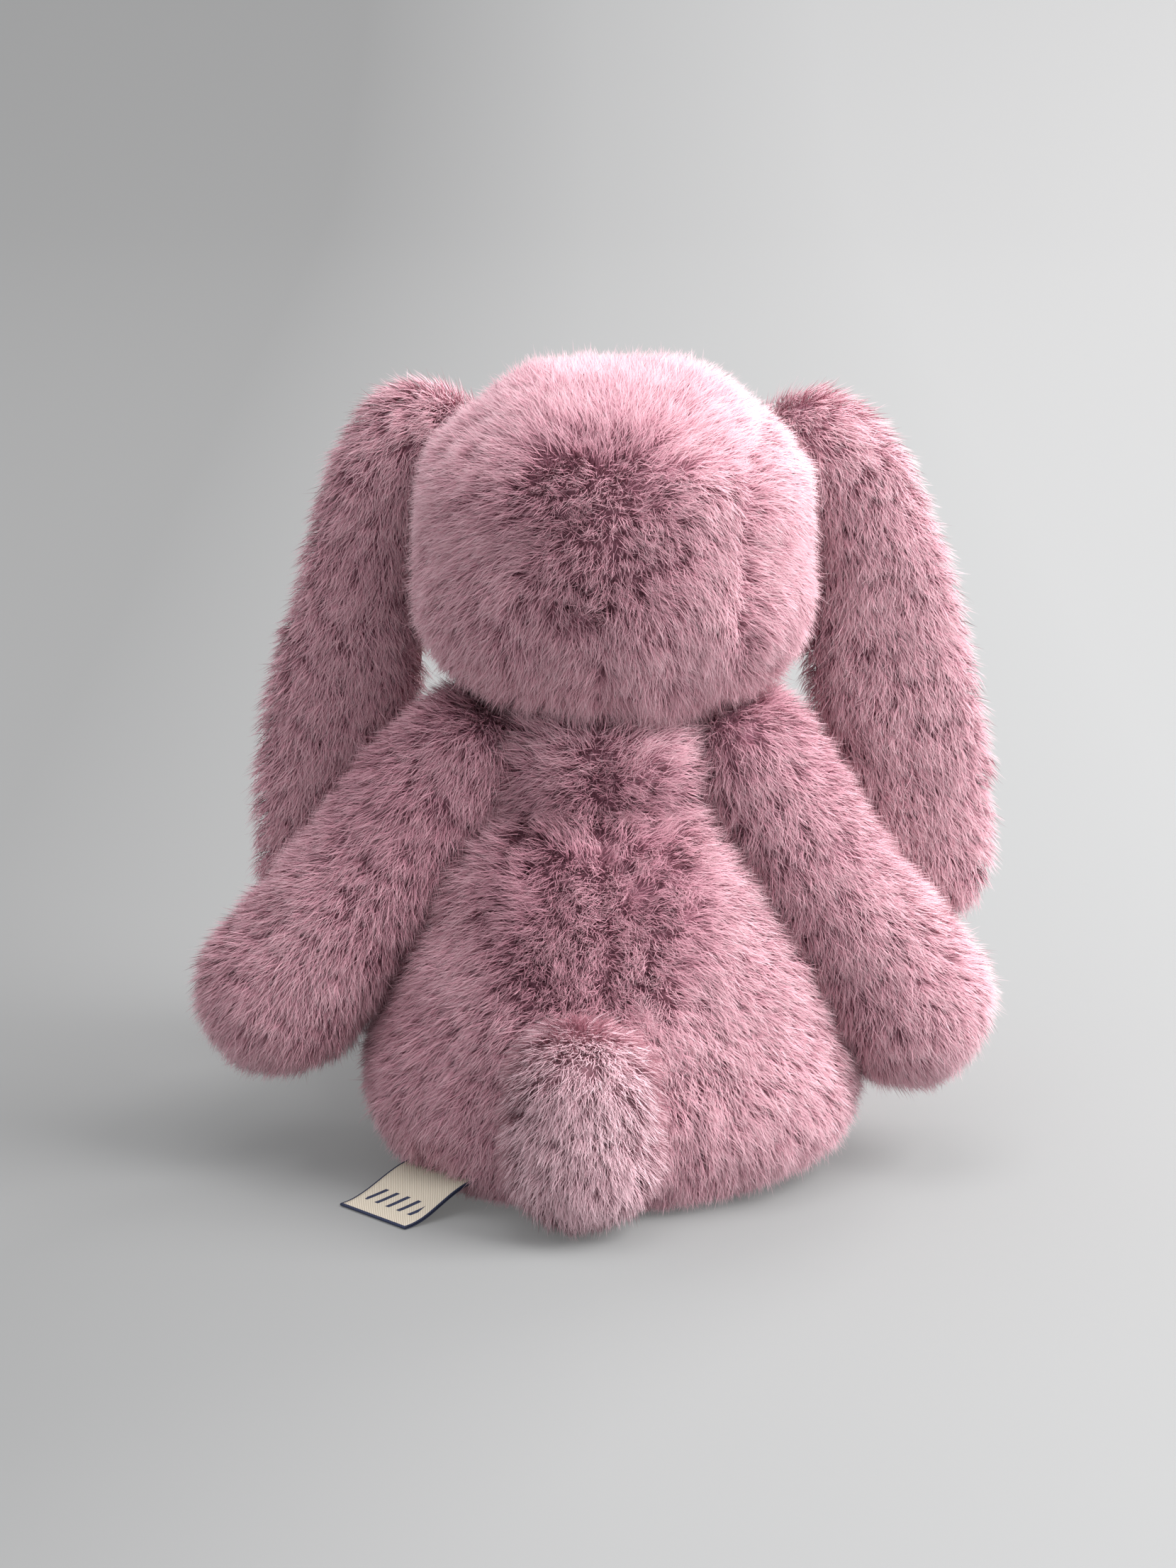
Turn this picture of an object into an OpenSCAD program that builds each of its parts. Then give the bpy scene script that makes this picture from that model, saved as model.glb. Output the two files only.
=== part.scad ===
// Seated long-pile plush bunny. The face looks along -Y, the back is +Y,
// the bunny's left is +X, and the seat rests on Z = 0. Sizes are in millimetres.

/* [Body] */
// Radius of the body at its widest, low above the seat
body_r = 58; // [54:1:62]
// Radius of the round edge of the hips
hip_round = 27; // [25:1:28]
// Radius of the chest
chest_r = 45; // [42:1:47]
// Radius of the round top that the head turns on
neck_r = 18; // [16:0.5:19]
// Height of the neck's pivot
neck_z = 112; // [110:1:114]

/* [Head] */
// Radius of the head seen from above
head_r = 46.5; // [42:0.5:48]
// Half of the head's height
head_half_h = 42; // [40:0.5:44]
// Height of the head's centre
head_z = 164; // [163:1:168]
// Sideways place of the head, a little towards the bunny's right
head_x = -3; // [-4:0.5:3]
// Radius of the muzzle
muzzle_r = 19; // [17:0.5:20]
// Diameter of an eye
eye_d = 10; // [8:0.5:11]

/* [Ears] */
// Radius of an ear's root, at its hinge
ear_root_r = 11; // [9:0.5:12]
// Thickness of an ear's plush side
ear_thick = 8; // [6:0.5:9]
// Thickness of an ear's lining
lining_thick = 3; // [2:0.5:4]
// Extra outward lean of the right ear, in degrees
ear_right_lean = 4; // [0:1:6]

/* [Limbs] */
// Distance from shoulder pivot to the middle of the paw
arm_reach = 79; // [70:1:82]
// Radius of a paw
paw_r = 19; // [17:0.5:19.5]
// Lean of the left arm out from straight down, in degrees
arm_left_lean = 40; // [38:1:46]
// Lean of the right arm out from straight down, in degrees
arm_right_lean = 36; // [36:1:46]
// Distance from hip pivot to the middle of the foot
leg_reach = 74; // [66:1:80]
// Radius of a leg at the hip
leg_r = 19; // [17:0.5:19.5]
// Outward splay of the left leg, in degrees
leg_left_splay = 9; // [4:1:14]
// Outward splay of the right leg, in degrees
leg_right_splay = 14; // [4:1:16]

/* [Tail and label] */
// Radius of the tail
tail_r = 16.5; // [14:0.5:18]
// Sideways place of the tail
tail_x = 5; // [-5:0.5:6]
// Width of the woven label
label_w = 25; // [20:1:28]
// Length of the woven label outside the seam
label_l = 24; // [20:1:30]

/* [Fabric] */
// Thickness of the plush fabric with its pile lying down
wall = 2.5; // [2:0.1:3]
// Gap that keeps moving parts apart
gap = 0.4; // [0.3:0.05:0.6]

/* [Hidden] */
$fn = 48;

plush = "RosyBrown";
cream = "Linen";
filling = "WhiteSmoke";

LEFT = 1;
RIGHT = -1;
fill_gap = 0.25;                       // stuffing to fabric
filling_hole_r = 5;                    // where the body is filled, under the neck seam
far = 400;                             // larger than the bunny

// Circles of a profile or outline are [across, up, radius].
body_rings = [[body_r - hip_round, hip_round - 2, hip_round], [0, 62, chest_r]];
cheek_r = 35;
head_rings = [[head_r - cheek_r, cheek_r - head_half_h, cheek_r],
              [head_r - cheek_r, head_half_h - cheek_r, cheek_r]];
head_y = -2;
muzzle_c = [head_x, head_y - 33, head_z - 13];

shoulder = [33, 6, 104];
shoulder_r = 15.5;
limb_step = 0.5;                       // a limb's tube sits this far inside its round ends

hip = [30, -36, leg_r + 0.6];
thigh_r = leg_r - limb_step;
foot_rings = [[0, 0, leg_r + 0.3], [0, 26, leg_r - 2]];
foot_lean = -12;
leg_lift = 35;                         // how far a leg can be lifted, in degrees

tail_c = [tail_x, 61, 23];
tail_stretch = 5;
tail_rings = [[0, -tail_stretch, tail_r], [0, tail_stretch, tail_r - 1]];
tail_room = 2.6;                       // for the tail's swing
room = gap + 0.3;                      // around limbs, over the facets of a dent
dent_fn = 24;                          // flats round the body, coarser than $fn
facet_room = 1;                        // the stuffing clears the flats of the plush's facets

ear_pivot = [47, -24, 187];            // across is measured from the head's centre
ear_rings = [[0, 0, ear_root_r], [10, -15, 11], [17, -38, 13], [22, -66, 16.5],
             [25, -92, 18.5], [26, -112, 17.5]];
lining_inset = 2.5;
ear_room = 3.2;                        // around an ear's root

pouch_c = [0, 11, 15];
pouch_rings = [[14, 0, 8]];
neck_cord_r = 1;
neck_cord_z = 3;                       // above the neck's pivot
eye_angle = 25;                        // out from straight ahead
eye_z = head_z + 3;
shank_r = 2;
shank_l = 8;                           // inside the fabric
washer_r = 5.5;
washer_h = 1.4;
washer_depth = 3;                      // from the fabric's inside to the washer's back
stitch_low = 0.3;                      // stitches start this far above the muzzle
nose_high = 1.6;
mouth_high = 1.3;
stroke_r = 0.6;
smile_w = 5.5;
smile_h = 3.5;
label_turn = 42;                       // from +X towards +Y
label_r0 = 52.5;
label_thick = 0.9;
label_drop = 7;                        // from its seam down to its free end
label_clear = 0.1;                     // above the seat plane

// Unit normal of the tangent that touches two circles on the given side (1 right, -1 left)
function tangent(a, b, side) =
  let (d = [b.x - a.x, b.y - a.y], l = norm(d), u = d / l)
  let (c = (a.z - b.z) / l, s = side * sqrt(1 - c * c))
  [u.x * c + u.y * s, u.y * c - u.x * s];

function touch(ring, n, grow) = [ring.x, ring.y] + (ring.z + grow) * n;

// Outline round a row of circles, grown by grow
module chain(rings, grow = 0) {
  for (ring = rings)
    translate([ring.x, ring.y]) circle(r = ring.z + grow);
  if (len(rings) > 1)
    for (i = [0 : len(rings) - 2]) {
      a = rings[i];
      b = rings[i + 1];
      right = tangent(a, b, 1);
      left = tangent(a, b, -1);
      polygon([touch(a, right, grow), touch(b, right, grow),
               touch(b, left, grow), touch(a, left, grow)]);
    }
}

// Direction of a row of circles at its circle i
function heading(rings, i) =
  let (a = rings[max(i - 1, 0)], b = rings[min(i + 1, len(rings) - 1)])
  let (d = [b.x - a.x, b.y - a.y])
  d / norm(d);

function beside(ring, dir, turn, grow) =
  [ring.x, ring.y] + (ring.z + grow) * [dir.x * cos(turn) - dir.y * sin(turn),
                                        dir.x * sin(turn) + dir.y * cos(turn)];

// One smooth outline along a bent row of circles, with round ends
module strip(rings, grow = 0) {
  last = len(rings) - 1;
  step = 15;
  polygon(concat(
    [for (i = [0 : last - 1]) beside(rings[i], heading(rings, i), -90, grow)],
    [for (t = [-90 : step : 90]) beside(rings[last], heading(rings, last), t, grow)],
    [for (i = [last - 1 : -1 : 0]) beside(rings[i], heading(rings, i), 90, grow)],
    [for (t = [90 + step : step : 270 - step]) beside(rings[0], heading(rings, 0), t, grow)]));
}

// The part of an outline right of X = 0 and above low, turned about Z
module turn(low = -far / 2)
  rotate_extrude()
    intersection() {
      children();
      translate([0, low]) square([far / 2, far]);
    }

module turned(rings, grow = 0) turn() chain(rings, grow);

module at_shoulder(side, lift = 0) {
  lean = side == LEFT ? arm_left_lean : arm_right_lean;
  translate([side * shoulder.x, shoulder.y, shoulder.z])
    rotate([0, -side * (lean + lift), 0])
      children();
}

module at_hip(side, lift = 0) {
  splay = side == LEFT ? leg_left_splay : leg_right_splay;
  translate([side * hip.x, hip.y, hip.z])
    rotate([-lift, 0, 0])
      rotate([0, 0, side * splay])
        children();
}

module at_tail() translate(tail_c) children();

module at_ear(side) {
  lean = side == LEFT ? 0 : ear_right_lean;
  translate([head_x + side * ear_pivot.x, ear_pivot.y, ear_pivot.z])
    rotate([0, -side * lean, 0])
      mirror([side == LEFT ? 0 : 1, 0, 0])
        rotate([90, 0, 0])
          children();
}

module at_eye(side)
  translate([head_x, head_y, eye_z])
    rotate([0, 0, side * eye_angle])
      rotate([90, 0, 0])
        children();

module arm_form(grow = 0) {
  sphere(r = shoulder_r + grow);
  translate([0, 0, -arm_reach]) {
    cylinder(r1 = paw_r - limb_step + grow, r2 = shoulder_r - limb_step + grow, h = arm_reach);
    sphere(r = paw_r + grow);
  }
}

module thigh_form(grow = 0) rotate([90, 0, 0]) cylinder(r = thigh_r + grow, h = leg_reach);

// A leg along -Y with the foot turned up at its end
module leg_form(grow = 0) {
  sphere(r = leg_r + grow);
  thigh_form(grow);
  translate([0, -leg_reach, 0])
    rotate([foot_lean, 0, 0])
      turned(foot_rings, grow);
}

module tail_form(grow = 0) turned(tail_rings, grow);

// A soft dent: the hull of two balls, from the origin to reach
module dent(reach, r0, r1)
  hull() {
    sphere(r = r0);
    translate(reach) sphere(r = r1);
  }

module body_form(inset = 0)
  difference() {
    turn(inset) {
      chain(body_rings, -inset);
      square([body_rings[0].x, body_rings[0].y]);
      translate([0, neck_z]) circle(r = neck_r - inset);
    }
    for (side = [LEFT, RIGHT]) {
      at_shoulder(side)
        dent([0, 0, -arm_reach], shoulder_r + room + inset, paw_r + room + inset);
      for (lift = [0, leg_lift])
        at_hip(side, lift)
          dent([0, -leg_reach, 0], leg_r + room + inset, leg_r + room + inset);
    }
    at_tail()
      translate([0, 0, -tail_stretch])
        dent([0, 0, 2 * tail_stretch], tail_r + tail_room + inset, tail_r + tail_room + inset);
  }

module head_form(inset = 0)
  difference() {
    union() {
      translate([head_x, head_y, head_z]) turned(head_rings, -inset);
      translate(muzzle_c) sphere(r = muzzle_r - inset);
    }
    translate([0, 0, neck_z]) sphere(r = neck_r + gap + inset);
    for (side = [LEFT, RIGHT])
      at_ear(side)
        translate([0, 0, -ear_thick / 2 - gap - inset])
          cylinder(r = ear_root_r + ear_room + inset,
                   h = ear_thick + lining_thick + 2 * (gap + inset));
  }

// The parts of a drawing in X-Z that lie on the muzzle, low to high above its surface
module on_muzzle(low, high)
  translate(muzzle_c)
    difference() {
      intersection() {
        sphere(r = muzzle_r + high);
        rotate([90, 0, 0]) translate([0, 0, 5]) linear_extrude(muzzle_r) children();
      }
      sphere(r = muzzle_r + low);
    }

function smile(side, t) = [side * smile_w * sin(t), -2 - smile_h * (1 - cos(t))];

module stroke(a, b)
  hull()
    for (p = [a, b])
      translate(p) circle(r = stroke_r, $fn = 16);

// ---- body ----

module body_plush()
  color(plush)
    difference() {
      body_form($fn = dent_fn);
      body_form(wall, $fn = dent_fn);
      translate([0, 0, neck_z]) cylinder(r = filling_hole_r, h = neck_r + 1, $fn = 24);
    }

module pouch(grow = 0)
  translate(pouch_c)
    turn() {
      chain(pouch_rings, grow);
      translate([0, -pouch_rings[0].z - grow]) square([pouch_rings[0].x, 2 * (pouch_rings[0].z + grow)]);
    }

module body_stuffing()
  color(filling)
    difference() {
      body_form(wall + fill_gap + facet_room, $fn = dent_fn);
      pouch(fill_gap);
    }

module bean_pouch() color("Tan") pouch();

module woven_label() {
  steps = 6;
  drop = function (t) label_thick / 2 + label_clear + label_drop * (1 + cos(180 * t)) / 2;
  color(cream)
    rotate([0, 0, label_turn])
      rotate([90, 0, 0])
        translate([0, 0, -label_w / 2])
          linear_extrude(label_w)
            strip([for (i = [0 : steps])
                     [label_r0 + label_l * i / steps, drop(i / steps), label_thick / 2]]);
}

// ---- neck ----

module neck_cord()
  color("DarkSalmon")
    translate([0, 0, neck_z + neck_cord_z])
      rotate_extrude()
        translate([sqrt(pow(neck_r + gap + neck_cord_r, 2) - pow(neck_cord_z, 2)), 0])
          circle(r = neck_cord_r);

// ---- head ----

module head_plush()
  color(plush)
    difference() {
      head_form();
      head_form(wall);
      for (side = [LEFT, RIGHT])
        at_eye(side)
          cylinder(r = shank_r + 0.1, h = head_r + 1);
    }

// The eyes' shanks and washers press into it
module head_stuffing() color(filling) head_form(wall + fill_gap);

module nose_stitching()
  color("DarkSlateGray")
    on_muzzle(stitch_low, nose_high)
      hull() {
        for (side = [LEFT, RIGHT])
          translate([3.2 * side, 8]) circle(r = 1.8);
        translate([0, 4.4]) circle(r = 1.4);
      }

module mouth_stitching()
  color("DarkSlateGray")
    on_muzzle(stitch_low, mouth_high) {
      stroke([0, 2.2], [0, -2]);
      for (side = [LEFT, RIGHT], t = [0 : 20 : 60])
        stroke(smile(side, t), smile(side, t + 20));
    }

module eye(side)
  color("Black")
    at_eye(side) {
      translate([0, 0, head_r + 0.1])
        intersection() {
          translate([0, 0, -0.35 * eye_d]) sphere(r = 0.62 * eye_d);
          cylinder(d = eye_d, h = eye_d);
        }
      translate([0, 0, head_r - wall - shank_l]) cylinder(r = shank_r, h = wall + shank_l + 0.2);
    }

module eye_left() eye(LEFT);
module eye_right() eye(RIGHT);

module eye_washer(side)
  color("Gainsboro")
    at_eye(side)
      translate([0, 0, head_r - wall - washer_depth])
        difference() {
          cylinder(r = washer_r, h = washer_h);
          translate([0, 0, -1]) cylinder(r = shank_r + 0.05, h = 4);
        }

module eye_washer_left() eye_washer(LEFT);
module eye_washer_right() eye_washer(RIGHT);

// ---- ears ----

module ear_plush(side)
  color(plush)
    at_ear(side)
      translate([0, 0, -ear_thick / 2])
        linear_extrude(ear_thick)
          strip(ear_rings);

module ear_lining(side)
  color(cream)
    at_ear(side)
      translate([0, 0, ear_thick / 2])
        linear_extrude(lining_thick)
          strip(ear_rings, -lining_inset);

module ear_left_plush() ear_plush(LEFT);
module ear_left_lining() ear_lining(LEFT);
module ear_right_plush() ear_plush(RIGHT);
module ear_right_lining() ear_lining(RIGHT);

// ---- arms ----

module arm_plush(side)
  color(plush)
    at_shoulder(side)
      difference() {
        arm_form();
        arm_form(-wall);
      }

module arm_stuffing(side)
  color(filling)
    at_shoulder(side)
      arm_form(-wall - fill_gap);

module arm_left_plush() arm_plush(LEFT);
module arm_left_stuffing() arm_stuffing(LEFT);
module arm_right_plush() arm_plush(RIGHT);
module arm_right_stuffing() arm_stuffing(RIGHT);

// ---- legs ----

module leg_plush(side)
  color(plush)
    at_hip(side)
      difference() {
        leg_form();
        leg_form(-wall);
      }

module leg_stuffing(side)
  color(filling)
    at_hip(side)
      leg_form(-wall - fill_gap);

module leg_left_plush() leg_plush(LEFT);
module leg_left_stuffing() leg_stuffing(LEFT);
module leg_right_plush() leg_plush(RIGHT);
module leg_right_stuffing() leg_stuffing(RIGHT);

// ---- tail ----

module tail_plush()
  color("MistyRose")
    at_tail()
      difference() {
        tail_form();
        tail_form(-wall);
      }

module tail_stuffing()
  color(filling)
    at_tail()
      tail_form(-wall - fill_gap);

body_plush();
body_stuffing();
bean_pouch();
woven_label();
neck_cord();
head_plush();
head_stuffing();
nose_stitching();
mouth_stitching();
eye_left();
eye_right();
eye_washer_left();
eye_washer_right();
ear_left_plush();
ear_left_lining();
ear_right_plush();
ear_right_lining();
arm_left_plush();
arm_left_stuffing();
arm_right_plush();
arm_right_stuffing();
leg_left_plush();
leg_left_stuffing();
leg_right_plush();
leg_right_stuffing();
tail_plush();
tail_stuffing();
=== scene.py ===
"""Seated long-pile plush bunny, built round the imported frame. Metres outside, millimetres in the sizes here.

Each soft part is a closed skin close to its CAD solid, with its pile as ribbons of real geometry.
The skins leave the CAD by a few millimetres where the photographed toy does.
"""

import math

import bpy
import numpy as np
from mathutils import Matrix, Vector
from mathutils.kdtree import KDTree


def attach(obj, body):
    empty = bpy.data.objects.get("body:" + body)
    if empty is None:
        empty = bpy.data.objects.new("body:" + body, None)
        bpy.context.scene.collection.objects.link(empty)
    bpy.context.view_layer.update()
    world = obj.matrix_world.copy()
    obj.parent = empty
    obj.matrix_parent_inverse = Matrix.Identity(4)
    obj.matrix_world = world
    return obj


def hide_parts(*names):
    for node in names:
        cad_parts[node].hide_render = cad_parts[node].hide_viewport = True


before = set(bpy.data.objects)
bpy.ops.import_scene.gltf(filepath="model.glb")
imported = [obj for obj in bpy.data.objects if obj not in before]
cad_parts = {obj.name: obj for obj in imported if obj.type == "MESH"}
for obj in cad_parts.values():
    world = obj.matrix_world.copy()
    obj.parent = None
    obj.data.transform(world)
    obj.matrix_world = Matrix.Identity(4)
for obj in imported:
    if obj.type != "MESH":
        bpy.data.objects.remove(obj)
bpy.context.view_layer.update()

MM = 0.001
rng = np.random.default_rng(514)

# ---------------------------------------------------------------- sizes, in mm, as in the CAD
SKIN_IN = 1.2  # a skin lies this far inside the CAD surface
FILL_IN = SKIN_IN + 3.6  # and a filling this far
HEAD = np.array([-3.0, -2.0, 164.0])
HEAD_R = 46.5
MUZZLE = HEAD + [0, -33, -13]
SHOULDER = np.array([33.0, 6.0, 104.0])
HIP = np.array([30.0, -36.0, 19.6])
TAIL = np.array([5.0, 61.0, 23.0])
EAR = np.array([47.0, -24.0, 187.0])
NECK = np.array([0.0, 0.0, 112.0])
ARM_REACH, LEG_REACH = 79.0, 74.0
ARM_SHORT = 4.5  # the soft arm ends this much before the CAD's
SHOULDER_R, PAW_R, THIGH_R = 15.5, 19.0, 18.5
FOOT_RINGS, FOOT_LEAN = [(0, 0, 19.3), (0, 26, 17)], -12
LEAN = {1: 40.0, -1: 36.0}
SPLAY = {1: 9.0, -1: 14.0}
EAR_LEAN = {1: 0.0, -1: 4.0}
EAR_LEAN_PART = 0.4  # the soft ears hang straighter than the CAD's
EAR_OUT = {1: 0.0, -1: 1.5}
EAR_TOP = {1: -6, -1: -9}  # the soft ears are sewn on this far from the pivot
EAR_TOP_RING = (2, 12)  # across and radius
EAR_RINGS = [(10, -15, 11), (17, -38, 13), (22, -66, 16.5), (25, -92, 18.5), (26, -112, 17.5)]
EAR_ROOT = (12.0, 9.0, 11.0)  # half sizes of the soft lump that joins an ear to the head
TAIL_RINGS = [(0, -2, 16.5), (0, 13, 15.5)]
EYE_ANGLE, EYE_Z = 25.0, 167.0
SIDES = {1: "left", -1: "right"}


# ---------------------------------------------------------------- small maths
def turn(axis, degrees):
    return np.array(Matrix.Rotation(math.radians(degrees), 3, axis))


def unit(v):
    return v / np.maximum(np.linalg.norm(v, axis=-1, keepdims=True), 1e-9)


def smooth(x, low, high):
    t = np.clip((x - low) / (high - low), 0, 1)
    return t * t * (3 - 2 * t)


def flat_to(n, v):
    """v with its part along the normals n taken out."""
    return v - n * np.sum(n * v, axis=-1, keepdims=True)


class Noise:
    """Smooth vector noise from -1 to 1, repeating every 32 cells."""

    def __init__(self, seed):
        self.table = np.random.default_rng(seed).uniform(-1, 1, (32, 32, 32, 3))

    def __call__(self, p, cell):
        q = p / cell + 100.0
        i = np.floor(q).astype(int)
        f = q - i
        f = f * f * (3 - 2 * f)
        out = np.zeros((len(p), 3))
        for dx in (0, 1):
            for dy in (0, 1):
                for dz in (0, 1):
                    w = (
                        (f[:, 0] if dx else 1 - f[:, 0])
                        * (f[:, 1] if dy else 1 - f[:, 1])
                        * (f[:, 2] if dz else 1 - f[:, 2])
                    )
                    c = self.table[(i[:, 0] + dx) % 32, (i[:, 1] + dy) % 32, (i[:, 2] + dz) % 32]
                    out += c * w[:, None]
        return out


noise = Noise(7)


# ---------------------------------------------------------------- meshes
def mesh_object(name, verts, faces, material=None):
    mesh = bpy.data.meshes.new(name)
    mesh.from_pydata((np.asarray(verts, float) * MM).tolist(), [], faces)
    mesh.update()
    obj = bpy.data.objects.new(name, mesh)
    bpy.context.scene.collection.objects.link(obj)
    if material:
        mesh.materials.append(material)
    return obj


def lathe(profile, steps=40):
    """A closed surface turned about Z. profile is (radius, height) from one end on the axis to the other."""
    inner = profile[1:-1]
    verts = [(0, 0, profile[0][1])]
    for r, z in inner:
        for k in range(steps):
            a = 2 * math.pi * k / steps
            verts.append((r * math.cos(a), r * math.sin(a), z))
    verts.append((0, 0, profile[-1][1]))
    faces = []
    for k in range(steps):
        k2 = (k + 1) % steps
        faces.append((0, 1 + k2, 1 + k))
        for i in range(len(inner) - 1):
            a, b = 1 + i * steps, 1 + (i + 1) * steps
            faces.append((a + k, a + k2, b + k2, b + k))
        last = 1 + (len(inner) - 1) * steps
        faces.append((last + k, last + k2, len(verts) - 1))
    return np.array(verts, float), faces


def rounded(circles, low=None, samples=34):
    """The profile round a row of circles (radius from the axis, height, circle radius)."""
    c = []
    for a, b in zip(circles[:-1], circles[1:]):
        for t in np.linspace(0, 1, 25):
            c.append([(1 - t) * p + t * q for p, q in zip(a, b)])
    if len(circles) == 1:
        c.append(list(circles[0]))
    c = np.array(c, float)
    z0 = (c[:, 1] - c[:, 2]).min() if low is None else low
    z1 = (c[:, 1] + c[:, 2]).max()
    zs = z0 + (z1 - z0) * (1 - np.cos(np.linspace(0, math.pi, samples))) / 2
    out = []
    for z in zs:
        inside = c[:, 2] ** 2 - (z - c[:, 1]) ** 2
        r = np.where(inside >= -1e-6, c[:, 0] + np.sqrt(np.maximum(inside, 0)), 0).max()
        out.append((r, z))
    return [(0, zs[0])] + [(max(r, 0.2), z) for r, z in out] + [(0, zs[-1])]


def placed(part, matrix=None, offset=(0, 0, 0)):
    verts, faces = part
    if matrix is not None:
        verts = verts @ np.asarray(matrix).T
    return verts + np.asarray(offset, float), faces


def make_skin(name, parts, voxel, rounds, shape=None):
    """One closed skin from overlapping closed parts, with its fine shape from shape(points, normals)."""
    verts, faces, base = [], [], 0
    for v, f in parts:
        verts.append(v)
        faces += [tuple(i + base for i in face) for face in f]
        base += len(v)
    obj = mesh_object(name, np.concatenate(verts), faces)
    remesh = obj.modifiers.new("remesh", "REMESH")
    remesh.mode = "VOXEL"
    remesh.voxel_size = voxel * MM
    relax = obj.modifiers.new("relax", "SMOOTH")
    relax.iterations = rounds
    relax.factor = 0.5
    dg = bpy.context.evaluated_depsgraph_get()
    final = bpy.data.meshes.new_from_object(obj.evaluated_get(dg))
    obj.modifiers.clear()
    obj.data = final
    final.name = name
    if shape is not None:
        p, n = points_of(final)
        p = p + n * shape(p, n)[:, None]
        final.vertices.foreach_set("co", (p * MM).astype(np.float32).ravel())
        final.update()
    final.polygons.foreach_set("use_smooth", np.ones(len(final.polygons), bool))
    final.materials.clear()
    return obj


def points_of(mesh):
    """(points in mm, vertex normals)."""
    p = np.zeros(len(mesh.vertices) * 3, np.float32)
    n = np.zeros(len(mesh.vertices) * 3, np.float32)
    mesh.vertices.foreach_get("co", p)
    mesh.vertex_normals.foreach_get("vector", n)
    return p.reshape(-1, 3).astype(float) / MM, n.reshape(-1, 3).astype(float)


def scatter(mesh, per_mm2):
    """Random points on the mesh, with smooth normals."""
    p, n = points_of(mesh)
    mesh.calc_loop_triangles()
    tri = np.zeros(len(mesh.loop_triangles) * 3, np.int32)
    mesh.loop_triangles.foreach_get("vertices", tri)
    tri = tri.reshape(-1, 3)
    a, b, c = p[tri[:, 0]], p[tri[:, 1]], p[tri[:, 2]]
    area = np.linalg.norm(np.cross(b - a, c - a), axis=1) / 2
    count = int(area.sum() * per_mm2)
    pick = rng.choice(len(tri), count, p=area / area.sum())
    u, v = rng.random(count), rng.random(count)
    over = u + v > 1
    u[over], v[over] = 1 - u[over], 1 - v[over]
    w = 1 - u - v
    t = tri[pick]
    at = p[t[:, 0]] * w[:, None] + p[t[:, 1]] * u[:, None] + p[t[:, 2]] * v[:, None]
    out = n[t[:, 0]] * w[:, None] + n[t[:, 1]] * u[:, None] + n[t[:, 2]] * v[:, None]
    return at, unit(out)


# ---------------------------------------------------------------- pile
STATIONS = np.array([0.0, 0.52, 1.0])
PULL = np.array([0.0, 0.06, 0.18])  # how far a strand is drawn to its clump at each station
WIDTH = np.array([1.0, 0.85])


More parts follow.
